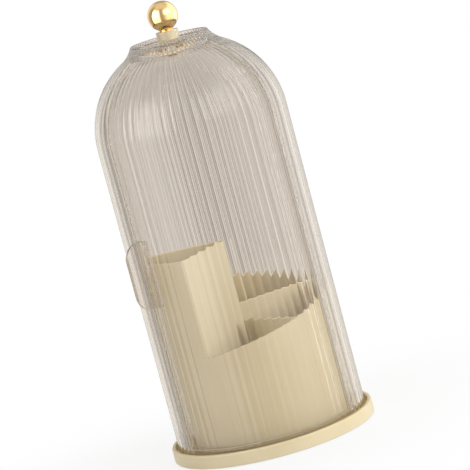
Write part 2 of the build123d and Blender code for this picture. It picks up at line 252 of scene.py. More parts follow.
def wall_mesh(name, outer, inner, present, nose):
    """A closed wall between two grids of points that run round the axis.

    outer[k][j] and inner[k][j] are the points at station k and azimuth j, present(k, j) says
    whether the cell above station k and after azimuth j is there, and nose is how far the
    edges bulge.  Returned with the mesh: for each point its share of the outside, and (k, j).
    """
    rows, turns = len(outer), len(outer[0])
    points, shares, stations, index, faces = [], [], [], {}, []

    def there(k, j):
        return 0 <= k < rows - 1 and present(k, j % turns)

    def nose_way(k, j):
        across = (outer[min(k + 1, rows - 1)][j] - outer[max(k - 1, 0)][j]).normalized()
        around = (outer[k][(j + 1) % turns] - outer[k][j - 1]).normalized()
        way = Vector((0, 0, 0))
        for dk in (-1, 0):
            for dj in (-1, 0):
                if not there(k + dk, j + dj):
                    way += across * (2 * dk + 1) + around * (2 * dj + 1)
        balanced = way.length < 1e-9
        return way if balanced else way.normalized()

    def point(share, k, j):
        j %= turns
        key = (share, k, j)
        if key not in index:
            place = outer[k][j] * share + inner[k][j] * (1 - share)
            if 0 < share < 1:
                place = place + nose_way(k, j) * nose
            index[key] = len(points)
            points.append(place)
            shares.append(share)
            stations.append((k, j))
        return index[key]

    nose_shares = (1.0, 0.8, 0.2, 0.0)
    cells = [(k, j) for k in range(rows - 1) for j in range(turns) if there(k, j)]
    for k, j in cells:
        square = [(k, j), (k, j + 1), (k + 1, j + 1), (k + 1, j)]
        faces.append([point(1.0, *c) for c in square])
        faces.append([point(0.0, *c) for c in reversed(square)])
        neighbours = [(k - 1, j), (k, j + 1), (k + 1, j), (k, j - 1)]
        for side, neighbour in enumerate(neighbours):
            if there(*neighbour):
                continue
            a, b = square[side], square[(side + 1) % 4]
            for high, low in zip(nose_shares, nose_shares[1:]):
                faces.append([point(high, *a), point(low, *a), point(low, *b), point(high, *b)])
    mesh = bpy.data.meshes.new(name)
    mesh.from_pydata(points, [], faces)
    return mesh, shares, stations


def at(azimuth, r, z):
    """A point from its azimuth (degrees from the front towards the right), radius and height."""
    a = radians(azimuth - 90)
    return Vector((r * cos(a), r * sin(a), z))


def azimuths(per_turn, wanted):
    """Even azimuths round the axis, with the wanted ones set in exactly."""
    step = 360.0 / per_turn
    even = [-180 + step * i for i in range(per_turn)]
    room = 0.3 * step
    return sorted([a for a in even if all(abs(a - w) > room for w in wanted)] + list(wanted))


def inside(azimuth, left, right):
    """Whether the cell after an azimuth lies between two others."""
    hair = 0.01
    return left - hair <= azimuth < right - hair


print("wall helpers ready")

# %% [markdown]
# The reeds are 64 shallow convex ribs.  They run up the wall and over the dome, and end in a
# scalloped edge at the neck.  They could be modelled one by one, but they follow a rule: each
# point sinks into the wall by the square of its distance from the reed's crest.  That is a job
# for Geometry Nodes, with the number and the depth as inputs.  The plain wall brings two
# attributes: how much of the depth a point takes, and which way is out.

# %% Geometry Nodes helpers
NUMBER, COUNT, FINISH = "NodeSocketFloat", "NodeSocketInt", "NodeSocketMaterial"


def plug(tree, socket, value):
    """Links a socket to another or to a node's first output, or sets its value."""
    if isinstance(value, bpy.types.Node):
        value = value.outputs[0]
    if isinstance(value, bpy.types.NodeSocket):
        tree.links.new(value, socket)
    else:
        socket.default_value = value


def node(tree, kind, inputs=None, **settings):
    """Adds a node, sets it up and fills its inputs by name or place."""
    made = tree.nodes.new(kind)
    for key, value in settings.items():
        setattr(made, key, value)
    for key, value in (inputs or {}).items():
        plug(tree, made.inputs[key], value)
    return made


def maths(tree, operation, *values):
    return node(tree, "ShaderNodeMath", dict(enumerate(values)), operation=operation)


def geometry_tree(name, inputs):
    """A modifier tree with a geometry input, named inputs and a geometry output."""
    tree = bpy.data.node_groups.new(name, "GeometryNodeTree")
    tree.is_modifier = True
    for label, kind in [("Geometry", "NodeSocketGeometry"), *inputs]:
        tree.interface.new_socket(label, in_out="INPUT", socket_type=kind)
    tree.interface.new_socket("Geometry", in_out="OUTPUT", socket_type="NodeSocketGeometry")
    return tree, tree.nodes.new("NodeGroupInput")


def end_tree(tree, geometry, finish):
    """Every tree ends the same way: real meshes with their material."""
    real = node(tree, "GeometryNodeRealizeInstances", {"Geometry": geometry})
    painted = node(tree, "GeometryNodeSetMaterial", {"Geometry": real, "Material": finish})
    node(tree, "NodeGroupOutput", {0: painted})


def run_tree(piece, tree, values):
    """Runs a tree on a piece, with its inputs by name."""
    modifier = piece.modifiers.new(tree.name, "NODES")
    modifier.node_group = tree
    for item in tree.interface.items_tree:
        if item.in_out == "INPUT" and item.name in values:
            modifier[item.identifier] = values[item.name]
    return keep_result(piece, modifier)


print("node helpers ready")

# %% [markdown]
# The tree reads like the rule.  The angle of a point, counted in reeds, has a fraction that runs
# from 0 at one valley to 1 at the next.  Doubled and less 1 it is the distance from the crest,
# and its square, times the depth, is how far the point sinks.


# %% The tree that presses the reeds
def reeds_tree():
    inputs = [("Reeds", COUNT), ("Reed depth", NUMBER), ("First valley", NUMBER), ("Finish", FINISH)]
    tree, given = geometry_tree("press_reeds", inputs)
    place = node(tree, "ShaderNodeSeparateXYZ", {0: node(tree, "GeometryNodeInputPosition")}).outputs
    angle = maths(tree, "ARCTAN2", place["Y"], place["X"])
    turn = maths(tree, "DIVIDE", maths(tree, "SUBTRACT", angle, given.outputs["First valley"]), 2 * pi)
    along = maths(tree, "FRACT", maths(tree, "MULTIPLY", turn, given.outputs["Reeds"]))
    from_crest = maths(tree, "SUBTRACT", maths(tree, "MULTIPLY", along, 2.0), 1.0)
    valley = maths(tree, "MULTIPLY", from_crest, from_crest)
    weight = node(tree, "GeometryNodeInputNamedAttribute", {"Name": "reed_share"}, data_type="FLOAT")
    outward = node(tree, "GeometryNodeInputNamedAttribute", {"Name": "outward"}, data_type="FLOAT_VECTOR")
    depth = maths(tree, "MULTIPLY", given.outputs["Reed depth"], weight)
    sink = maths(tree, "MULTIPLY", maths(tree, "MULTIPLY", valley, depth), -1.0)
    offset = node(tree, "ShaderNodeVectorMath", {0: outward, "Scale": sink}, operation="SCALE")
    moved = node(tree, "GeometryNodeSetPosition", {"Geometry": given, "Offset": offset})
    end_tree(tree, moved, given.outputs["Finish"])
    return tree


press_reeds = reeds_tree()
print("reeds tree:", len(press_reeds.nodes), "nodes")

# %% [markdown]
# Finishes come before the pieces, because the trees set them.  Each is a Principled shader whose
# colour, roughness and bump vary a little over Object coordinates, which are metres here: a
# noise scale of 1000 has a grain of a millimetre.  The small helpers keep each finish to a few
# lines.

# %% Finish helpers
finishes = {}


def new_finish(name):
    """A material with an empty tree, its Principled shader and its output."""
    material = bpy.data.materials.new(name)
    finishes[name] = material
    material.use_nodes = True
    tree = material.node_tree
    tree.nodes.clear()
    shader = node(tree, "ShaderNodeBsdfPrincipled")
    output = node(tree, "ShaderNodeOutputMaterial", {0: shader})
    return tree, shader, output


def over_object(tree, stretch=(1, 1, 1)):
    """Object coordinates, stretched where a finish has a direction."""
    place = node(tree, "ShaderNodeTexCoord").outputs["Object"]
    return node(tree, "ShaderNodeMapping", {"Vector": place, "Scale": stretch})


def grain(tree, place, scale, detail=3.0):
    noise = node(tree, "ShaderNodeTexNoise", {"Vector": place, "Scale": scale, "Detail": detail})
    return noise.outputs["Fac"]


def spread(tree, value, low, high):
    """Maps a noise, which mostly lies between 0.3 and 0.7, to a range."""
    return node(tree, "ShaderNodeMapRange", {0: value, 1: 0.3, 2: 0.7, 3: low, 4: high})


def opaque(colour):
    """A colour of three numbers, with the fourth that a socket wants."""
    return (*colour, 1) if isinstance(colour, tuple) else colour


def blend_colours(tree, share, first, second):
    inputs = {0: share, 6: opaque(first), 7: opaque(second)}
    return node(tree, "ShaderNodeMix", inputs, data_type="RGBA").outputs[2]


def blend_shaders(tree, share, first, second):
    return node(tree, "ShaderNodeMixShader", {0: share, 1: first, 2: second})


def dent(tree, shader, height, depth, strength):
    bump = node(tree, "ShaderNodeBump", {"Height": height, "Distance": depth, "Strength": strength})
    plug(tree, shader.inputs["Normal"], bump)


def from_srgb(red, green, blue):
    """A colour as a picture shows it (0 to 255), as the shader wants it."""
    return tuple(((c / 255 + 0.055) / 1.055) ** 2.4 for c in (red, green, blue))


print("finish helpers ready")

# %% [markdown]
# Ivory plastic, nylon, rubber and plated metal have one thing in common: nothing on them is
# quite even.  So one recipe makes them all.  Two near tones lie in broad clouds, the roughness
# changes over a finer noise, and the bumps are finer still.  The gold is a bright mirror, and
# what makes a mirror look like metal is what it reflects, so the world below does most of the
# work, and the recipe only adds the polishing marks.


# %% Opaque finishes
def solid_finish(name, tones, cloud, rough, rough_scale, bumps, stretch=(1, 1, 1), metal=0.0):
    """A finish of two tones, with a changing roughness and fine bumps.

    cloud and rough_scale are noise scales, rough is (low, high), and bumps is (scale, detail,
    depth, strength).
    """
    tree, shader, _ = new_finish(name)
    place = over_object(tree)
    tone = blend_colours(tree, spread(tree, grain(tree, place, cloud), 0.0, 1.0), *tones)
    plug(tree, shader.inputs["Base Color"], tone)
    plug(tree, shader.inputs["Roughness"], spread(tree, grain(tree, place, rough_scale), *rough))
    scale, detail, depth, strength = bumps
    dent(tree, shader, grain(tree, over_object(tree, stretch), scale, detail), depth, strength)
    plug(tree, shader.inputs["Metallic"], metal)
    return tree, shader, tone


def metal_finish(name, tones, rough, marks):
    """The polishing marks run round the piece, so their noise is squeezed upwards."""
    polish = (900.0, 2.0, marks, 0.3)
    solid_finish(name, tones, 90.0, rough, 400.0, polish, stretch=(1, 1, 6), metal=1.0)


def matt_finish(name, tones, rough, bump_scale, depth):
    solid_finish(name, tones, 70.0, rough, 300.0, bumps=(bump_scale, 3.0, depth, 0.5))


nylon_tones = from_srgb(236, 233, 226), from_srgb(228, 224, 214)
pad_tones = from_srgb(214, 208, 196), from_srgb(200, 194, 182)
metal_finish("gold_plate", ((0.95, 0.70, 0.35), (0.89, 0.61, 0.27)), (0.02, 0.07), 0.002 * mm)
metal_finish("bearing_steel", ((0.62, 0.63, 0.65), (0.55, 0.56, 0.58)), (0.06, 0.14), 0.002 * mm)
metal_finish("screw_steel", ((0.52, 0.53, 0.55), (0.43, 0.44, 0.45)), (0.22, 0.38), 0.01 * mm)
matt_finish("white_nylon", nylon_tones, (0.42, 0.58), 1500.0, 0.02 * mm)
matt_finish("soft_pad", pad_tones, (0.7, 0.85), 2500.0, 0.05 * mm)
print("finishes:", *finishes)

# %% [markdown]
# The ivory plastic is a satin moulded finish: a warm cream with hardly any pattern, a fine
# spark-eroded grain and a soft sheen.  A flat colour would look like a computer's.  On top of
# the recipe, edges rubbed a touch paler and a little light under the surface make it plastic
# that has been handled.


# %% Ivory plastic
def ivory_finish():
    tones = from_srgb(221, 207, 173), from_srgb(216, 200, 163)
    moulded_grain = (2200.0, 2.0, 0.02 * mm, 0.35)
    rough = (0.34, 0.46)
    tree, shader, tone = solid_finish("ivory_plastic", tones, 22.0, rough, 160.0, moulded_grain)
    edge = node(tree, "ShaderNodeNewGeometry").outputs["Pointiness"]
    rubbed = node(tree, "ShaderNodeMapRange", {0: edge, 1: 0.53, 2: 0.62, 3: 0.0, 4: 0.5})
    paler = blend_colours(tree, rubbed, tone, from_srgb(230, 219, 192))
    plug(tree, shader.inputs["Base Color"], paler)
    plug(tree, shader.inputs["Subsurface Weight"], 0.2)
    plug(tree, shader.inputs["Subsurface Scale"], 4.0 * mm)
    plug(tree, shader.inputs["Subsurface Radius"], (1.0, 0.8, 0.55))


ivory_finish()
print("ivory plastic:", len(finishes["ivory_plastic"].node_tree.nodes), "nodes")

# %% [markdown]
# The clear plastic is polished acrylic with a faint warm grey tint.  A glass shader alone blocks
# lamp light, and the tub inside would be lit only by slow, noisy caustics.  So shadow and
# diffuse rays see a plain tinted transparent surface instead, which is how thin clear walls
# behave in practice.  Fingers and cloths leave a trace of roughness, and the mould a trace of
# waviness along its height.  Edges gather the light of the whole wall and glow.  Here that glow
# is painted on as a pale milky colour on the edges: the walls bring an attribute that says
# where an edge is.


# %% Clear plastic
def clear_finish(name, tint, grazing_tint, rough):
    tree, shader, output = new_finish(name)
    slant = node(tree, "ShaderNodeLayerWeight", {"Blend": 0.5}).outputs["Facing"]
    slanted = maths(tree, "MULTIPLY", slant, slant)
    smudge = grain(tree, over_object(tree), scale=35.0, detail=5.0)
    plug(tree, shader.inputs["Base Color"], blend_colours(tree, slanted, tint, grazing_tint))
    plug(tree, shader.inputs["Transmission Weight"], 1.0)
    plug(tree, shader.inputs["IOR"], 1.49)
    plug(tree, shader.inputs["Roughness"], spread(tree, smudge, *rough))
    flow = grain(tree, over_object(tree, stretch=(1, 1, 0.15)), scale=35.0, detail=1.0)
    dent(tree, shader, flow, depth=0.04 * mm, strength=0.15)

    # Painted edge glow: a pale milky colour, lit like a matt surface, stands in for the light that clear
    # edges gather.
    edge_glow_paint = {"Color": opaque(from_srgb(236, 227, 212))}
    glow_translucent = node(tree, "ShaderNodeBsdfTranslucent", edge_glow_paint)
    glow_diffuse = node(tree, "ShaderNodeBsdfDiffuse", edge_glow_paint)
    edge = node(tree, "ShaderNodeAttribute", attribute_name="edge").outputs["Fac"]
    painted_glow = blend_shaders(tree, 0.5, glow_translucent, glow_diffuse)
    most_glow_paint = 0.8
    walls = blend_shaders(tree, maths(tree, "MULTIPLY", edge, most_glow_paint), shader, painted_glow)

    ray = node(tree, "ShaderNodeLightPath").outputs
    passing = maths(tree, "MAXIMUM", ray["Is Shadow Ray"], ray["Is Diffuse Ray"])
    open_air = node(tree, "ShaderNodeBsdfTransparent", {"Color": (0.98, 0.975, 0.965, 1)})
    plug(tree, output.inputs[0], blend_shaders(tree, passing, walls, open_air))


clear_finish("clear_plastic", (0.885, 0.853, 0.820), (0.965, 0.938, 0.868), (0.0, 0.02))
clear_finish("clear_washer", (0.90, 0.88, 0.84), (0.95, 0.93, 0.89), (0.25, 0.4))
print(len(finishes), "finishes in all")

# %% [markdown]
# A piece joins the frame in three calls: it rides on a body, names its finish and hides the CAD
# node that it stands for.  One helper does all three, so that no piece misses one.

# %% Joining a piece to the frame
bodies = frame["record"]["behaviour"]["bodies"]
body_of_node = {name: body for body, names in bodies.items() for name in names}
slot_of_node = {part["node"]: part["material_slot"] for part in frame["record"]["subparts"]}
stood_for = set()


def paint(piece, slot):
    piece.data.materials.clear()
    piece.data.materials.append(finishes[slot])


def join_frame(piece, cad_node):
    """The piece takes the body, the slot and the place of a CAD node."""
    slot = slot_of_node[cad_node]
    paint(piece, slot)
    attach(piece, body_of_node[cad_node])
    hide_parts(cad_node)
    stood_for.add(cad_node)
    print(f"{piece.name} stands for {cad_node}: {len(piece.data.polygons)} faces")


print(len(slot_of_node), "nodes have a slot")

# %% [markdown]
# The base is one moulded tray.  Seen from outside it is a plain round rim, so its rounds matter:
# a wider one outside, where a hand meets it, and a tight one at the gap round the cover.  It
# is turned from one section with the locating ring, the ball race and the pivot hub.

# %% Base tray
foot_proud = bottom_of("base_tray")
rim_top = top_of("base_tray")
rim_inner = base_radius - 2.8 * mm
skirt_inner = base_radius - 2.5 * mm
deck_underside = deck_top - 2.0 * mm
race_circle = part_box("bearing_balls")[1].x - 2.5 * mm
race_centre = (top_of("bearing_balls") + bottom_of("bearing_balls")) / 2
race_radius = 2.6 * mm
hub_radius = 9.2 * mm
hub_top = top_of("pivot_bush") - 0.4 * mm
hub_bottom = top_of("base_plate") + 0.3 * mm
bush_radius = 3.45 * mm
head_room = 6.6 * mm
head_room_top = top_of("pivot_washer")
locating_outer = 60.6 * mm
locating_inner = locating_outer - 1.6 * mm
locating_top = deck_top + 3.0 * mm


def race_corners(level):
    """The groove that the balls run in, as corners of a section at a level deck."""
    half = sqrt(race_radius**2 - (race_centre - level) ** 2)
    start = -degrees(acos(half / race_radius))
    groove = arc_points(race_circle, race_centre, race_radius, start, -180 - start, steps=8)
    return [(r, z, 0) for r, z in groove]


tray_corners = [
    (bush_radius, head_room_top, 0.1),
    (head_room, head_room_top, 0.1),
    (head_room, hub_bottom, 0.2),
    (hub_radius, hub_bottom, 0.2),
    (hub_radius, deck_underside, 0.3),
    (skirt_inner, deck_underside, 0.5),
    (skirt_inner, foot_proud, 0.3),
    (base_radius, foot_proud, 0.5),
    (base_radius, rim_top, 2.2),
    (rim_inner, rim_top, 0.8),
    (rim_inner, deck_top, 0.6),
    (locating_outer, deck_top, 0.3),
    (locating_outer, locating_top, 0.4),
    (locating_inner, locating_top, 0.4),
    (locating_inner, deck_top, 0.3),
    *race_corners(deck_top),
    (hub_radius, deck_top, 0.4),
    (hub_radius, hub_top, 0.3),
    (bush_radius, hub_top, 0.1),
]
join_frame(turned("base_tray_moulded", soften(tray_corners, steps=6), turns=192), "base_tray")

# %% [markdown]
# The tub is a cup with a low side and a rim that climbs round it like a ramp, up to a tall
# pocket front.  The wall is a grid again: the first stations follow the ramp all the way
# round, and the last ones are there only where the tall front stands.  The floor is turned and
# runs into the wall.

# %% Rim of the tub
pocket_angle = 72.0
step_azimuth = -33.0
tall_start = step_azimuth - pocket_angle
low_top = 74.0 * mm
climb = 0.17 * mm
tub_nose = 0.5 * mm


def ramp_height(azimuth):
    """Height of the climbing rim; behind the tall front it runs back down in a line."""
    gone = (azimuth - step_azimuth) % 360.0
    arc = 360.0 - pocket_angle
    if gone <= arc:
        return low_top + climb * gone
    return low_top + climb * arc * (360.0 - gone) / pocket_angle


print("the rim climbs from", low_top / mm, "to", round(ramp_height(tall_start) / mm, 1), "mm")

# %% Tub
edge_inset = degrees(tub_nose / tub_radius)
tall_edges = (tall_start + edge_inset, step_azimuth - edge_inset)
tub_turns = azimuths(per_turn=240, wanted=tall_edges)
foot_level = bottom_of("tub_shell") + tub_nose
tall_level = tall_top - tub_nose
ramp_rows = 3
floor_bottom = top_of("turntable_plate") - 6.0 * mm
floor_top = bottom_of("divider_insert")
floor_bore = 4.6 * mm
floor_reach = tub_inner + 1.0 * mm


def tub_rows(radius):
    """Rows of points: each goes a share of the way up to the ramp, and on to the tall top."""
    rows = []
    for to_ramp, to_top in ((0, 0), (0.34, 0), (0.67, 0), (1, 0), (1, 0.5), (1, 1)):
        row = []
        for azimuth in tub_turns:
            ramp = ramp_height(azimuth) - tub_nose
            level = foot_level + (ramp - foot_level) * to_ramp + (tall_level - ramp) * to_top
            row.append(at(azimuth, radius, level))
        rows.append(row)
    return rows


def tub_present(k, j):
    return k < ramp_rows or inside(tub_turns[j], *tall_edges)


tub_grids = (tub_rows(tub_radius), tub_rows(tub_inner))
tub_mesh, _, _ = wall_mesh("tub_moulded", *tub_grids, tub_present, tub_nose)
bm = bmesh.new()
bm.from_mesh(tub_mesh)
turn_into(bm, ring_section(floor_bore, floor_reach, floor_bottom, floor_top, size=0.2), turns=128)
write_out(bm, tub_mesh, wall_sharp)
join_frame(true_flats(add_object("tub_moulded", tub_mesh)), "tub_shell")

# %% [markdown]
# Five upright dividers share a low round hub that hides the pivot.  The two beside the tall
# front are tall, the others end level with the rim.  Each is a thin board whose outer edge
# follows the tub.  A board made by extruding its plan, with its top edges rounded by a bevel,
# is closer to a moulding than a box.


# %% Boards and slabs
def slab(outline, near, far):
    """An outline of (x, z) points, extruded from y near to y far."""
    bm = bmesh.new()
    front = [bm.verts.new((x, near, z)) for x, z in outline]
    back = [bm.verts.new((x, far, z)) for x, z in outline]
    bm.faces.new(front)
    bm.faces.new(back[::-1])
    for i in range(len(outline)):
        after = (i + 1) % len(outline)
        bm.faces.new((front[i], front[after], back[after], back[i]))
    return bm


def add_to(bm, part):
    """Adds one bmesh to another, by way of a mesh."""
    passed = bpy.data.meshes.new("passed")
    part.to_mesh(passed)
    part.free()
    bm.from_mesh(passed)
    bpy.data.meshes.remove(passed)


print("slab helpers ready")

# %% Divider insert
pocket_count = 5
half_divider = 0.9 * mm
divider_tip = sqrt((tub_inner - 0.1 * mm) ** 2 - half_divider**2)
core_outer = 13.0 * mm
core_inner = core_outer - 2.0 * mm
core_top = floor_top + 14.0 * mm
core_ceiling = core_top - 2.0 * mm
board_root = core_outer - 1.5 * mm
board_step = core_top - 1.0 * mm


def divider_top(index):
    if index in (0, pocket_count - 1):
        return tall_top
    return low_top + climb * pocket_angle * index


def board(azimuth, height):
    """One divider: a thin board that steps over the core, with its top edges rounded."""
    profile = [(0, board_step), (board_root, board_step), (board_root, floor_top)]
    profile += [(divider_tip, floor_top), (divider_tip, height), (0, height)]
    bm = slab(profile, -half_divider, half_divider)
    top_edges = [e for e in bm.edges if all(v.co.z > height - 1e-6 for v in e.verts)]
    bmesh.ops.bevel(bm, geom=top_edges, offset=0.7 * mm, segments=4, profile=0.5, affect="EDGES")
    turn = Matrix.Rotation(radians(azimuth - 90), 3, "Z")
    bmesh.ops.rotate(bm, cent=(0, 0, 0), matrix=turn, verts=bm.verts)
    return bm


bm = bmesh.new()
for index in range(pocket_count):
    add_to(bm, board(step_azimuth + index * pocket_angle, divider_top(index)))
core_corners = [
    (0, core_top, 0),
    (core_outer, core_top, 3.0),
    (core_outer, floor_top, 0.2),
    (core_inner, floor_top, 0.2),
    (core_inner, core_ceiling, 1.0),
    (0, core_ceiling, 0),
]
turn_into(bm, soften(core_corners), turns=96)
join_frame(true_flats(close_up(bm, "divider_moulded")), "divider_insert")

# %% [markdown]
# The cover is the piece that one looks at: a straight wall, a dome, a short hollow neck and a
# sunk crown with a boss for the knob.  A real one is injection moulded, outside and inside at
# once, so the wall grid goes up the outside and the inside together, from the foot to the
# boss's bore.  The door window is cells left out, down to a hoop at the foot.  The door is made
# the same way, so the dome's shape and the reeds are helpers that both share.

# %% Shape of the dome
dome_centre = 5.5 * mm
shoulder = deck_top + 222.4 * mm
dome_steps = 22
clear_nose = 0.12 * mm


def dome_points(radius, start, end, steps):
    """Points on a dome that starts at a wall's radius; its centre is a little off the axis."""
    return arc_points(dome_centre, shoulder, radius - dome_centre, start, end, steps)


def wall_and_dome(radius, heights, end_angle):
    """A straight wall through some heights, and the dome on it up to an angle from level."""
    return [(radius, z) for z in heights] + dome_points(radius, 0, end_angle, dome_steps)


def dome_angle(radius, level):
    """Angle from level at which a dome reaches a height."""
    return degrees(asin((level - shoulder) / (radius - dome_centre)))


def even_points(line, count):
    """A number of points at even distances along a line of points."""
    legs = [hypot(b[0] - a[0], b[1] - a[1]) for a, b in zip(line, line[1:])]
    slack = 1e-12
    spaced = []
    for i in range(count):
        left = sum(legs) * i / (count - 1)
        for (a, b), leg in zip(zip(line, line[1:]), legs):
            if left <= leg + slack:
                t = left / leg if leg else 0
                spaced.append((a[0] + (b[0] - a[0]) * t, a[1] + (b[1] - a[1]) * t))
                break
            left -= leg
    return spaced


print("dome from", round(shoulder / mm, 1), "mm up")

# %% [markdown]
# A dome wall gets its grid first, then three attributes for each point, and then the tree runs.
# The grid has eight steps to a reed, so that each reed comes out round.  Two of the attributes
# have done their work after the tree and are taken off.  The third, edge, stays for the finish.

# %% Reeds on a dome wall
reed_count = 64
reed_depth = 0.35 * mm
steps_per_reed = 8


def ways_out(section, side):
    """The direction square to a section at each of its points; side is 1 outside, -1 inside."""
    ways = []
    for k in range(len(section)):
        before, after = section[max(k - 1, 0)], section[min(k + 1, len(section) - 1)]
        along = (Vector(after) - Vector(before)).normalized()
        ways.append((along.y * side, -along.x * side))
    return ways


def mark_points(mesh, name, kind, key, values):
    """Writes a value for each point as a named attribute."""
    mesh.attributes.new(name, kind, "POINT").data.foreach_set(key, values)


def reeded(name, outer, inner, outer_reeds, inner_reeds, turns, present, edge_glow_paint=(1.0,)):
    """A dome wall with its reeds, from its outer and inner section.

    outer_reeds and inner_reeds say how much reed each station takes, and the last argument
    says how much painted edge glow, a pale milky colour, an edge gets there; its last value
    holds for all stations after it.
    """
    grids = [[[at(a, r, z) for a in turns] for r, z in section] for section in (outer, inner)]
    mesh, shares, stations = wall_mesh(name, *grids, present, clear_nose)
    outer_ways, inner_ways = ways_out(outer, 1), ways_out(inner, -1)
    taken, painted_glow, outward = [], [], []
    for share, (k, j) in zip(shares, stations):
        taken.append(share * outer_reeds[k] + (1 - share) * inner_reeds[k])
        painted_glow.append(edge_glow_paint[min(k, len(edge_glow_paint) - 1)] if 0 < share < 1 else 0.0)
        outward.extend(at(turns[j], *(outer_ways if share > 0.5 else inner_ways)[k]))
    mark_points(mesh, "reed_share", "FLOAT", "value", taken)
    mark_points(mesh, "edge", "FLOAT", "value", painted_glow)
    mark_points(mesh, "outward", "FLOAT_VECTOR", "vector", outward)
    bm = bmesh.new()
    bm.from_mesh(mesh)
    write_out(bm, mesh, wall_sharp)
    piece = add_object(name, mesh)
    values = {"Reeds": reed_count, "Reed depth": reed_depth, "First valley": 0.0}
    run_tree(piece, press_reeds, {**values, "Finish": finishes["clear_plastic"]})
    for label in ("reed_share", "outward"):
        piece.data.attributes.remove(piece.data.attributes[label])
    return piece


print("reeds:", reed_count, "of depth", reed_depth / mm, "mm")

# %% [markdown]
# On the real cover the dome doesn't run into the neck at a corner: a hollow arc leads from one to
# the other.  Two circles touch where the line between their centres passes, so the arc's
# centre comes from a triangle: the dome's centre, the neck's lip and the hollow's centre.

# %% Neck of the cover
neck_radius = 27.4 * mm
neck_hollow = 20.0 * mm
neck_steps = 4
crown_floor = boss_top - 7.8 * mm
crown_top = crown_floor + 3.0 * mm
window_crown = 31.5 * mm

lip_run, lip_rise = neck_radius - dome_centre, crown_top - shoulder
lip_span = hypot(lip_run, lip_rise)
neck_span = cover_crest - dome_centre + neck_hollow
turn_off = acos((lip_span**2 + neck_span**2 - neck_hollow**2) / (2 * lip_span * neck_span))
leave_angle = degrees(atan2(lip_rise, lip_run) - turn_off)
neck_r = dome_centre + neck_span * cos(radians(leave_angle))
neck_z = shoulder + neck_span * sin(radians(leave_angle))
lip_angle = 180 + degrees(asin((neck_z - crown_top) / neck_hollow))
window_angle = degrees(acos((window_crown - dome_centre) / (cover_inner - dome_centre)))
window_neck_angle = 180 + degrees(acos((neck_r - window_crown) / neck_hollow))


def neck_points(start, end):
    return arc_points(neck_r, neck_z, neck_hollow, start, end, neck_steps)


print("the dome turns into the neck at", round(leave_angle, 1), "degrees from level")

# %% [markdown]
# The cover's two sections have the same number of stations, because the grid joins them one to
# one.  Up to the window's top they go side by side.  Above it the outside has many corners on
# the crown and the boss, and the inside is a plain ceiling, so it gets points at even distances.

# %% Sections of the cover
socket_radius = reach("stud_sleeve") - 0.03 * mm
bore_radius = 2.55 * mm
bore_edge = bore_radius + clear_nose
boss_radius = 7.8 * mm
lip_inner = neck_radius - 2.2 * mm
crown_underside = top_of("thrust_washer")
hoop_top = deck_top + 7.5 * mm

mid_wall = shoulder - 100 * mm
wall_heights = [deck_top + clear_nose, hoop_top, mid_wall]
outer = wall_and_dome(cover_crest, wall_heights, leave_angle)
inner = wall_and_dome(cover_inner, wall_heights, leave_angle)
outer += neck_points(leave_angle + 180, window_neck_angle)[1:]
inner += dome_points(cover_inner, leave_angle, window_angle, neck_steps)[1:]
window_row = len(outer) - 1

neck = neck_points(window_neck_angle, lip_angle)
crown_corners = [
    (*neck[-2], 0),
    (neck_radius, crown_top, 0.8),
    (lip_inner, crown_top, 0.8),
    (lip_inner, crown_floor, 1.2),
    (boss_radius, crown_floor, 0.8),
    (boss_radius, boss_top, 0.5),
    (socket_radius, boss_top, 0.1),
    (socket_radius, crown_floor, 0),
    (bore_edge, crown_floor, 0),
]
crown = neck[1:-2] + [tuple(p) for p in soften(crown_corners)]
ceiling_angle = dome_angle(cover_inner, crown_underside)
ceiling = dome_points(cover_inner, window_angle, ceiling_angle, steps=4)
ceiling.append((bore_edge, crown_underside))
outer += crown
inner += even_points(ceiling, len(crown) + 1)[1:]
print("the cover has", len(outer), "stations, and the window ends at", window_row)

# %% [markdown]
# The reeds keep their number all the way up, so they get narrower towards the neck and have to
# get shallower with it.  Close under the neck they are deep again, which gives it its scalloped
# edge, and inside they are only on the ceiling.  The crown, the boss and the bore are plain.

# %% Cover
window_left, window_right = -61.5, 55.0
neck_reeds, neck_fade = 0.85, 0.15
neck_top = crown_top - 0.5 * mm
neck_edge = neck_radius - 0.1 * mm
plain_under = 9 * mm
outer_reeds = [1.0] * len(wall_heights)
for k in range(len(wall_heights), window_row + 1):
    near_neck = 1.0 - neck_fade * (window_row - k)
    outer_reeds.append(max(outer[k][0] / cover_crest, near_neck))
for r, z in crown:
    outer_reeds.append(neck_reeds if z < neck_top and r >= neck_edge else 0.0)
inner_reeds = [0.0] * (window_row + 1)
for r, _ in inner[window_row + 1:]:
    inner_reeds.append(neck_reeds * min(1.0, r / neck_radius) if r > plain_under else 0.0)
# How much painted edge glow each station of the cover gets: less at the window's top and above it.
cover_glow_paint = [1.0] * (window_row - 2) + [0.6, 0.3, 0.25]
cover_turns = azimuths(reed_count * steps_per_reed, (window_left, window_right))


def cover_present(k, j):
    return not (1 <= k < window_row and inside(cover_turns[j], window_left, window_right))


cover = reeded(
    "cover_reeded", outer, inner, outer_reeds, inner_reeds, cover_turns, cover_present, cover_glow_paint
)
join_frame(cover, "cover_shell")

# %% [markdown]
# The door is the same wall a size smaller.  It slides round inside the cover and hangs from a
# round hub under the crown, so its grid keeps all azimuths near the axis and only the door's
# own ones below.  A narrow slot takes the grip.

# %% Door
door_overlap = 3.5
door_left, door_right = window_left - door_overlap, window_right + door_overlap
hub_faces = (top_of("door_shell"), top_of("retaining_washer"))
door_eye = 3.75 * mm
hub_radii = (17 * mm, 12 * mm, 8 * mm, door_eye + clear_nose)
reeds_end, reeds_fade = 22 * mm, 8 * mm

grip_azimuth = -59.5
grip_wall = 2.0 * mm
grip_low, grip_high = bottom_of("door_tab"), top_of("door_tab")
slot_room = 0.1 * mm + clear_nose
slot_half = degrees((grip_wall / 2 + slot_room) / door_crest)
slot_sides = (grip_azimuth - slot_half, grip_azimuth + slot_half)

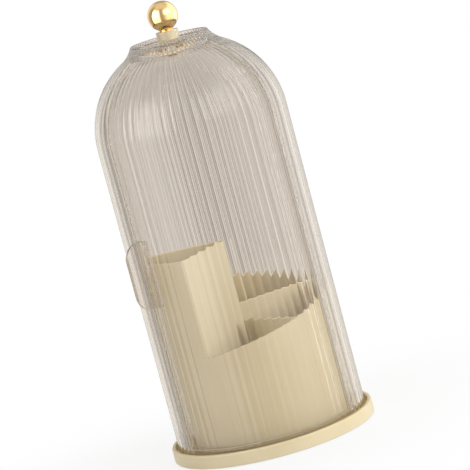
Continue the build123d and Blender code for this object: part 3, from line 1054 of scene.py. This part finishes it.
door_heights = [bottom_of("door_shell") + clear_nose, grip_low - slot_room, grip_high + slot_room]
door_sections = []
for radius, face in zip((door_crest, door_inner), hub_faces):
    section = wall_and_dome(radius, door_heights, dome_angle(radius, face))
    door_sections.append(section + [(r, face) for r in hub_radii])
hub_row = len(door_sections[0]) - len(hub_radii) + 1
door_turns = azimuths(reed_count * steps_per_reed, (door_left, door_right, *slot_sides))

outer_reeds = [1.0] * len(door_heights)
for r, _ in door_sections[0][len(door_heights):]:
    outer_reeds.append(r / door_crest * min(1, max(0, (r - reeds_end) / reeds_fade)))
inner_reeds = [0.0] * len(outer_reeds)


def door_present(k, j):
    in_slot = k == 1 and inside(door_turns[j], *slot_sides)
    return k >= hub_row or (inside(door_turns[j], door_left, door_right) and not in_slot)


door = reeded("door_reeded", *door_sections, outer_reeds, inner_reeds, door_turns, door_present)
join_frame(door, "door_shell")

# %% [markdown]
# The grip is a flat clear plate with two big round corners.  It passes through the slot and
# ends in a small foot inside.  Plate and foot are joined by a Boolean, because two clear
# solids that only overlap show their hidden faces, and then a bevel rounds every edge.


# %% Grip of the door
def boolean(piece, operation, low, high):
    """Joins a box to a piece or cuts it out, given the box's lowest and highest corner."""
    outline = [(low[0], low[2]), (high[0], low[2]), (high[0], high[2]), (low[0], high[2])]
    other = close_up(slab(outline, low[1], high[1]), "box")
    with_modifier(piece, "BOOLEAN", operation=operation, solver="EXACT", object=other)
    bpy.data.objects.remove(other)


grip_corner = 11.0 * mm
foot_wall = 1.2 * mm
foot_half = 5.0 * mm
foot_outer = door_inner - 0.2 * mm
grip_root = door_inner - foot_wall / 2
corner_r = reach("door_tab") - grip_corner
low_corner = arc_points(corner_r, grip_low + grip_corner, grip_corner, -90, 0, steps=12)
high_corner = arc_points(corner_r, grip_high - grip_corner, grip_corner, 0, 90, steps=12)
outline = [(grip_root, grip_low), *low_corner, *high_corner, (grip_root, grip_high)]
grip = close_up(slab(outline, -grip_wall / 2, grip_wall / 2), "grip_clear")
foot_low = (foot_outer - foot_wall, -foot_half, grip_low)
boolean(grip, "UNION", foot_low, (foot_outer, foot_half, grip_high))
with_modifier(
    grip, "BEVEL", width=0.3 * mm, segments=3, limit_method="ANGLE", angle_limit=radians(35)
)
smooth(grip.data)
true_flats(grip)
grip.data.transform(Matrix.Rotation(radians(grip_azimuth - 90), 4, "Z"))
join_frame(grip, "door_tab")

# %% [markdown]
# Inside the cover's foot a clear ring with an upstand keeps the door's lower edge in line.
# Under the crown two washers and a domed hexagon nut hold the door's hub on the gold stem, and
# an ivory sleeve lines the clear boss.  They are small, but they show through the crown, so
# each is turned with its own rounds.

# %% Door track, washers and sleeves
track_outer = reach("door_track")
track_mid = 62.3 * mm
track_inner = track_mid - 1.4 * mm
track_web = deck_top + 1.4 * mm
track_top = top_of("door_track")
track_corners = [
    (track_inner, deck_top, 0.3),
    (track_outer, deck_top, 0.3),
    (track_outer, track_web, 0.3),
    (track_mid, track_web, 0.3),
    (track_mid, track_top, 0.5),
    (track_inner, track_top, 0.5),
]
join_frame(turned("door_track_clear", soften(track_corners), turns=192), "door_track")


def small_ring(cad_node, outside, gap=0.0):
    """A washer or a sleeve on the stem, with a gap at each end where it has to slip."""
    low, high = bottom_of(cad_node) + gap, top_of(cad_node) - gap
    section = ring_section(bore_radius, outside, low, high, size=0.15)
    join_frame(turned(f"{cad_node}_turned", section, turns=64), cad_node)


slip_gap = 0.02 * mm
small_ring("thrust_washer", reach("thrust_washer"))
small_ring("retaining_washer", reach("retaining_washer"))
small_ring("door_bush", door_eye, slip_gap)
small_ring("stud_sleeve", reach("stud_sleeve"), slip_gap)

# %% [markdown]
# A hexagon nut is a turned piece whose radius is trimmed to a hexagon: the turned part gives
# the chamfered corners and the domed end that a press leaves, and the trim gives the flats.

# %% Domed nut
thread_bore = 2.52 * mm
nut_corner = reach("pivot_nut")
nut_top = top_of("pivot_nut")
nut_bottom = bottom_of("pivot_nut")
nut_shoulder = nut_top - 3.2 * mm
chamfer_radius = nut_corner * 0.9
chamfer = 0.35 * mm
nut_dome = nut_corner * 0.8
dome_height = nut_shoulder - nut_bottom
dome_facets = 9


def hexagon(angle, radius):
    """The radius of a hexagon at an angle, or a smaller radius as it is."""
    off = (angle + pi / 6) % (pi / 3) - pi / 6
    return min(radius, nut_corner * cos(pi / 6) / cos(off))


nut_section = [
    (thread_bore, nut_bottom + 0.5 * mm),
    (thread_bore, nut_top),
    (chamfer_radius, nut_top),
    (nut_corner, nut_top - chamfer),
    (nut_corner, nut_shoulder + chamfer),
    (chamfer_radius, nut_shoulder),
]
for i in range(dome_facets):
    a = radians(90 * i / dome_facets)
    nut_section.append((max(nut_dome * cos(a), thread_bore), nut_shoulder - dome_height * sin(a)))
join_frame(turned("pivot_nut_domed", nut_section, turns=72, trim=hexagon, sharp_angle=28), "pivot_nut")

# %% [markdown]
# The stem is threaded brass rod, gold plated like the rest.  A true helix would be exact, but
# at a pitch under a millimetre plain ridges look the same, so the section gets a zigzag.  The
# collar is a spool with a waist, and the ball is bored from below to sit on the stem.


# %% Stem, collar and ball
def ridged(low, high, radius, pitch, depth):
    """A thread's zigzag between two heights, as points of a half section."""
    zigzag = []
    for i in range(int((high - low) / pitch) - 1):
        valley = low + (i + 0.5) * pitch
        zigzag += [(radius - depth, valley), (radius, valley + pitch / 2)]
    return zigzag


stem_radius = reach("knob_stud")
stem_low, stem_high = bottom_of("knob_stud"), top_of("knob_stud")
stem_end = stem_radius - 0.4 * mm
stem_section = [(0, stem_low), (stem_end, stem_low)]
stem_section += ridged(stem_low, stem_high, stem_radius, pitch=0.7 * mm, depth=0.3 * mm)
stem_section += [(stem_end, stem_high), (0, stem_high)]
join_frame(turned("stem_threaded", stem_section, turns=48, sharp_angle=70), "knob_stud")

collar_radius = reach("knob_collar")
collar_low, collar_high = bottom_of("knob_collar"), top_of("knob_collar")
lip_radius = collar_radius - 0.1 * mm
lip_height = 0.35 * mm
collar_corners = [
    (thread_bore, collar_low, 0),
    (collar_radius, collar_low, 0.25),
    (lip_radius, collar_low + lip_height, 0.1),
    (collar_radius - 0.5 * mm, (collar_low + collar_high) / 2, 0.5),
    (lip_radius, collar_high - lip_height, 0.1),
    (collar_radius, collar_high, 0.25),
    (thread_bore, collar_high, 0),
]
join_frame(turned("collar_gold", soften(collar_corners), turns=96), "knob_collar")

ball_radius = reach("knob_ball")
ball_centre = top_of("knob_ball") - ball_radius
ball_seat = bottom_of("knob_ball")
bore_end = ball_seat + 6 * mm
seat_angle = degrees(asin((ball_seat - ball_centre) / ball_radius))
ball_section = [(thread_bore, ball_seat), (thread_bore, bore_end), (0, bore_end)]
ball_section += from_axis(arc_points(0, ball_centre, ball_radius, 90, seat_angle, steps=64))
join_frame(turned("ball_gold", ball_section, sharp_angle=60), "knob_ball")

# %% [markdown]
# Screws, bearing balls and feet are each one piece repeated on a circle.  Geometry Nodes set
# copies on the points of a mesh circle, and a seeded random turn leaves each screw's slot
# where the driver stopped.


# %% The tree that sets pieces on a circle
def circle_tree():
    inputs = [("Count", COUNT), ("Circle radius", NUMBER), ("First angle", NUMBER)]
    inputs += [("Free turn", NUMBER), ("Seed", COUNT), ("Finish", FINISH)]
    tree, given = geometry_tree("set_on_circle", inputs)
    values = given.outputs
    round_about = {"Vertices": values["Count"], "Radius": values["Circle radius"]}
    circle = node(tree, "GeometryNodeMeshCircle", round_about)
    start = node(tree, "ShaderNodeCombineXYZ", {"Z": values["First angle"]})
    placed = node(tree, "GeometryNodeTransform", {"Geometry": circle, "Rotation": start})
    free = {"Seed": values["Seed"], 2: 0.0, 3: values["Free turn"]}
    turn = node(tree, "FunctionNodeRandomValue", free, data_type="FLOAT").outputs[1]
    spin = node(tree, "ShaderNodeCombineXYZ", {"Z": turn})
    copies = {"Points": placed, "Instance": given, "Rotation": spin}
    end_tree(tree, node(tree, "GeometryNodeInstanceOnPoints", copies), values["Finish"])
    return tree


set_on_circle = circle_tree()


def repeat_on_circle(piece, cad_node, count, radius, first_angle=0.0, free_turn=0.0, seed=0):
    """Copies a piece round the axis, on a circle, and joins all of them to the frame as one."""
    values = {"Count": count, "Circle radius": radius, "First angle": first_angle}
    values |= {"Free turn": free_turn, "Seed": seed, "Finish": finishes[slot_of_node[cad_node]]}
    run_tree(piece, set_on_circle, values)
    smooth(piece.data)
    join_frame(piece, cad_node)


print("circle tree:", len(set_on_circle.nodes), "nodes")

# %% [markdown]
# All the screws are countersunk and driven from below.  Each is turned with the ridges of its
# thread, and a box is cut out of its head for the driver.  Only the heads in the closing plate
# ever show, from below.


# %% Screws
head_flare = 1.4 * mm


def screw(name, shank, length, level):
    """A screw that points up, from its shank's radius, its length and its head's level."""
    head = shank + head_flare
    chamfer = 0.15 * mm
    neck = level + 1.3 * mm
    tip = level + length
    section = [(0, level), (head - chamfer, level), (head, level + chamfer), (shank, neck)]
    section += ridged(neck, tip, shank, pitch=0.6 * mm, depth=0.2 * mm)
    section += [(shank / 2, tip - 0.1 * mm), (0, tip)]
    piece = turned(name, section, turns=32, sharp_angle=70)
    past_head, half_slot, slot_depth = head * 1.2, 0.35 * mm, 0.7 * mm
    low = (-past_head, -half_slot, level - slot_depth)
    boolean(piece, "DIFFERENCE", low, (past_head, half_slot, level + slot_depth))
    return piece


plate_shank, tub_shank = 1.25 * mm, 1.4 * mm
plate_circle = reach("base_screws") - plate_shank - head_flare
tub_circle = reach("tub_screws") - tub_shank - head_flare
plate_level, tub_level = bottom_of("base_screws"), bottom_of("tub_screws")
base_screws = screw("base_screws_set", shank=plate_shank, length=3.4 * mm, level=plate_level)
repeat_on_circle(base_screws, "base_screws", 4, plate_circle, free_turn=pi, seed=3)
tub_screws = screw("tub_screws_set", shank=tub_shank, length=10.0 * mm, level=tub_level)
repeat_on_circle(tub_screws, "tub_screws", 3, tub_circle, free_turn=pi, seed=8)

# %% [markdown]
# A bearing ball is turned like the knob.  A foot is a soft pad that grips the table with a few
# round grooves, and stands proud of the closing plate.

# %% Bearing balls and feet
bearing_radius = (top_of("bearing_balls") - bottom_of("bearing_balls")) / 2
pole_to_pole = from_axis(arc_points(0, race_centre, bearing_radius, -90, 90, steps=16))
one_ball = turned("bearing_balls_set", pole_to_pole, turns=28)
repeat_on_circle(one_ball, "bearing_balls", 12, race_circle)

foot_radius = 7.0 * mm
foot_circle = 54.0 * mm
foot_top = top_of("foot_pads")
first_groove, groove_step = 0.2, 0.17
groove_depth = 0.2 * mm
groove_plan = ((0, 0), (0.15 * mm, groove_depth), (0.45 * mm, groove_depth), (0.6 * mm, 0))
pad_corners = [(0, 0, 0)]
for groove in range(4):
    start = foot_radius * (first_groove + groove_step * groove)
    pad_corners += [(start + run, level, 0) for run, level in groove_plan]
pad_corners += [(foot_radius, 0, 0.3), (foot_radius, foot_top, 0), (0, foot_top, 0)]
one_foot = turned("foot_pads_set", soften(pad_corners), turns=64)
repeat_on_circle(one_foot, "foot_pads", 4, foot_circle, first_angle=pi / 4)

# %% [markdown]
# The pieces that stay inside, such as the closing plate, the turntable and the pivot, have the
# right shape already.  They keep their CAD mesh and get their finish.

# %% CAD nodes that stay
for name, cad in nodes.items():
    if name not in stood_for:
        paint(cad, slot_of_node[name])
        print(name, "keeps its CAD mesh in", slot_of_node[name])

# %% [markdown]
# A clear object on white has no colour of its own: it shows what stands round it.  With pure
# white on all sides it would vanish, so the world is white where the camera looks past the
# object, and for mirror and clear rays it is a studio.  Rays through the plastic see uneven
# grey streaks, which the reeds bend into lines, and mirror rays see soft bright panels.  The
# world also gives the even base light.


# %% Soft steps for the world and the floor
def ramp(tree, value, start, end, low, high):
    """A soft step from low to high while the value goes from start to end."""
    inputs = {0: value, 1: start, 2: end, 3: low, 4: high}
    return node(tree, "ShaderNodeMapRange", inputs, interpolation_type="SMOOTHSTEP")


def band(tree, value, first, first_full, last_full, last):
    """0 outside first and last, 1 between the two full values, and soft in between."""
    rise = ramp(tree, value, first, first_full, 0.0, 1.0)
    fall = ramp(tree, value, last_full, last, 1.0, 0.0)
    return maths(tree, "MULTIPLY", rise, fall)


def mix_levels(tree, share, first, second):
    return node(tree, "ShaderNodeMix", {0: share, 2: first, 3: second}, data_type="FLOAT")


print("soft steps ready")

# %% [markdown]
# Each panel is a band of azimuths, in degrees from the front towards the right, and a band of
# heights, from -1 straight below to 1 straight above.  The four numbers of a band are where it
# starts, is full, stops being full and ends.  The last number is the brightness that it adds.

# %% Reflected panels
full_height = (-0.60, -0.30, 0.60, 0.90)
down_to_floor = (-0.95, -0.60, 0.60, 0.90)
reflected_panels = {
    "left": ((-93, -82, -36, -12), down_to_floor, 1.8),
    "left, upper": ((-90, -80, -40, -20), (-0.05, 0.20, 0.50, 0.80), 2.4),
    "right": ((-4, 45, 88, 96), (-0.90, -0.30, 0.60, 0.95), 1.2),
    "right, upper": ((0, 30, 60, 90), (0.05, 0.30, 0.55, 0.75), 1.8),
    "bright strip, right": ((97, 100, 104, 107), full_height, 5.0),
    "back, right": ((107, 112, 140, 162), full_height, 1.15),
    "back, left": ((-170, -158, -138, -122), full_height, 0.5),
    "dark line, left": ((-102, -97, -95, -92), down_to_floor, -0.38),
}
print(len(reflected_panels), "panels")

# %% [markdown]
# The world's shader puts these together.  Light Path says what kind of ray asks, and each kind
# gets its own brightness: mirror rays the panels, rays through the plastic the streaks, and the
# camera plain white.  All other rays, which carry the light, get the even base light.


# %% World
def streaked_backdrop(tree, axes):
    """What shows through the plastic: the same grey streaks at every height."""
    level_way = node(tree, "ShaderNodeCombineXYZ", {"X": axes["X"], "Y": axes["Y"]})
    around = node(tree, "ShaderNodeVectorMath", {0: level_way}, operation="NORMALIZE")
    streaks = grain(tree, around, scale=9.0, detail=1.5)
    side = ramp(tree, streaks, start=0.40, end=0.58, low=0.36, high=1.0)
    upward = ramp(tree, axes["Z"], start=-0.05, end=0.5, low=1.0, high=0.45)
    return maths(tree, "MULTIPLY", side, upward)


def mirrored_studio(tree, axes):
    """What the mirrors see: a grey room, darker below, with the panels added."""
    front = maths(tree, "ARCTAN2", axes["X"], maths(tree, "MULTIPLY", axes["Y"], -1.0))
    turn = maths(tree, "MULTIPLY", front, degrees(1.0))
    room = ramp(tree, axes["Z"], start=0.75, end=0.95, low=0.50, high=0.85)
    below = ramp(tree, axes["Z"], start=-0.75, end=-0.35, low=0.30, high=1.0)
    level = maths(tree, "MULTIPLY", room, below)
    for azimuths_seen, heights_seen, brightness in reflected_panels.values():
        across = band(tree, turn, *azimuths_seen)
        upright = band(tree, axes["Z"], *heights_seen)
        lit = maths(tree, "MULTIPLY", maths(tree, "MULTIPLY", across, upright), brightness)
        level = maths(tree, "ADD", level, lit)
    return level


def studio_world():
    world = bpy.data.worlds.new("studio")
    world.use_nodes = True
    tree = world.node_tree
    tree.nodes.clear()
    way = node(tree, "ShaderNodeTexCoord").outputs["Generated"]
    axes = node(tree, "ShaderNodeSeparateXYZ", {0: way}).outputs
    ray = node(tree, "ShaderNodeLightPath").outputs
    base_light, white, warm_white = 0.55, (1, 1, 1), (1.0, 0.955, 0.90)
    level = mix_levels(tree, ray["Is Glossy Ray"], base_light, mirrored_studio(tree, axes))
    level = mix_levels(tree, ray["Is Transmission Ray"], level, streaked_backdrop(tree, axes))
    level = mix_levels(tree, ray["Is Camera Ray"], level, 1.0)
    clear_ray = maths(tree, "MAXIMUM", ray["Is Glossy Ray"], ray["Is Transmission Ray"])
    tone = blend_colours(tree, clear_ray, white, warm_white)
    sky = node(tree, "ShaderNodeBackground", {"Color": tone, "Strength": level})
    node(tree, "ShaderNodeOutputWorld", {0: sky})
    return world


scene.world = studio_world()
print("world:", len(scene.world.node_tree.nodes), "nodes")

# %% [markdown]
# Three soft boxes light the object: a cool key from the right, which gives the tub its bright
# side, a weak warm fill from the left and a light from behind for the rims.  Mirror and clear
# rays don't see them, because their hard outlines would show in the dome.


# %% Lamps
def softbox(name, place, width, height, power, colour=(1, 1, 1)):
    """A rectangular lamp, aimed at the middle of the holder."""
    lamp = bpy.data.lights.new(name, "AREA")
    lamp.shape = "RECTANGLE"
    lamp.size = width
    lamp.size_y = height
    lamp.energy = power
    lamp.color = colour
    holder = add_object(name, lamp)
    holder.location = place
    middle = Vector((0, 0, 0.16))
    look = middle - Vector(place)
    holder.rotation_euler = look.to_track_quat("-Z", "Y").to_euler()
    holder.visible_glossy = False
    holder.visible_transmission = False
    print("lamp:", name, power, "W")


cool, warm = (0.955, 0.98, 1.0), (1.0, 0.985, 0.96)
softbox("key_right", (1.7, -1.0, 1.0), width=1.3, height=1.9, power=33, colour=cool)
softbox("fill_left", (-1.7, -1.3, 0.9), width=1.4, height=1.8, power=9.5, colour=warm)
softbox("back_top", (0.2, 1.5, 1.7), width=1.6, height=1.0, power=10)

# %% [markdown]
# The floor has to look white and still keep the object's shadow.  So it is plain paint for the
# light, and for the camera and the clear rays most of it is see-through, more so away from the
# object, which lets the white world show.


# %% Floor
def floor_paint():
    material = bpy.data.materials.new("floor_pale")
    material.use_nodes = True
    tree = material.node_tree
    tree.nodes.clear()
    paint_shader = node(tree, "ShaderNodeBsdfDiffuse", {"Color": (0.86, 0.86, 0.86, 1)})
    see_through = node(tree, "ShaderNodeBsdfTransparent", {"Color": (1, 1, 1, 1)})
    place = node(tree, "ShaderNodeTexCoord").outputs["Object"]
    away = node(tree, "ShaderNodeVectorMath", {0: place}, operation="LENGTH").outputs["Value"]
    fade = ramp(tree, away, start=0.07, end=0.28, low=0.80, high=1.0)
    mostly_white = blend_shaders(tree, fade, paint_shader, see_through)
    ray = node(tree, "ShaderNodeLightPath").outputs
    bounce = maths(tree, "MAXIMUM", ray["Is Glossy Ray"], ray["Is Transmission Ray"])
    seen = maths(tree, "MAXIMUM", ray["Is Camera Ray"], bounce)
    node(tree, "ShaderNodeOutputMaterial", {0: blend_shaders(tree, seen, paint_shader, mostly_white)})
    return material


floor_radius, floor_corners = 0.9, 96
rim = [at(360 * i / floor_corners, floor_radius, 0) for i in range(floor_corners)]
floor_mesh = bpy.data.meshes.new("floor")
floor_mesh.from_pydata(rim, [], [list(range(floor_corners))])
floor_mesh.materials.append(floor_paint())
floor = add_object("floor", floor_mesh)
print("floor:", floor.name, floor_radius, "m in radius")

# %% [markdown]
# The photograph was taken from two metres with a long lens, a little above the holder, and the
# picture leans: the camera is rolled.  The roll is about the line of sight, so it is set on
# the camera's own axes and not on the object.

# %% Camera
camera_place = (0, -2.0, 0.449)
pitch_down = radians(8.63)
yaw = radians(0.267)
roll = radians(14.95)

lens = bpy.data.cameras.new("camera")
lens.lens = 221.8
lens.sensor_width = 36.0
camera = add_object("camera", lens)
forward = Vector((sin(yaw) * cos(pitch_down), cos(yaw) * cos(pitch_down), -sin(pitch_down)))
level_right = Vector((cos(yaw), -sin(yaw), 0))
level_up = level_right.cross(forward)
right = level_right * cos(roll) - level_up * sin(roll)
up = level_up * cos(roll) + level_right * sin(roll)
turn = Matrix((right, up, -forward)).transposed().to_4x4()
camera.matrix_world = Matrix.Translation(camera_place) @ turn
scene.camera = camera
scene.view_settings.view_transform = "Standard"
scene.cycles.max_bounces = 24
scene.cycles.glossy_bounces = 16
scene.cycles.transmission_bounces = 24
print("camera at", tuple(round(c, 3) for c in camera.location), "lens", round(lens.lens, 1))

# %% Pieces made again
print("pieces stand for", len(stood_for), "of", len(nodes), "nodes")
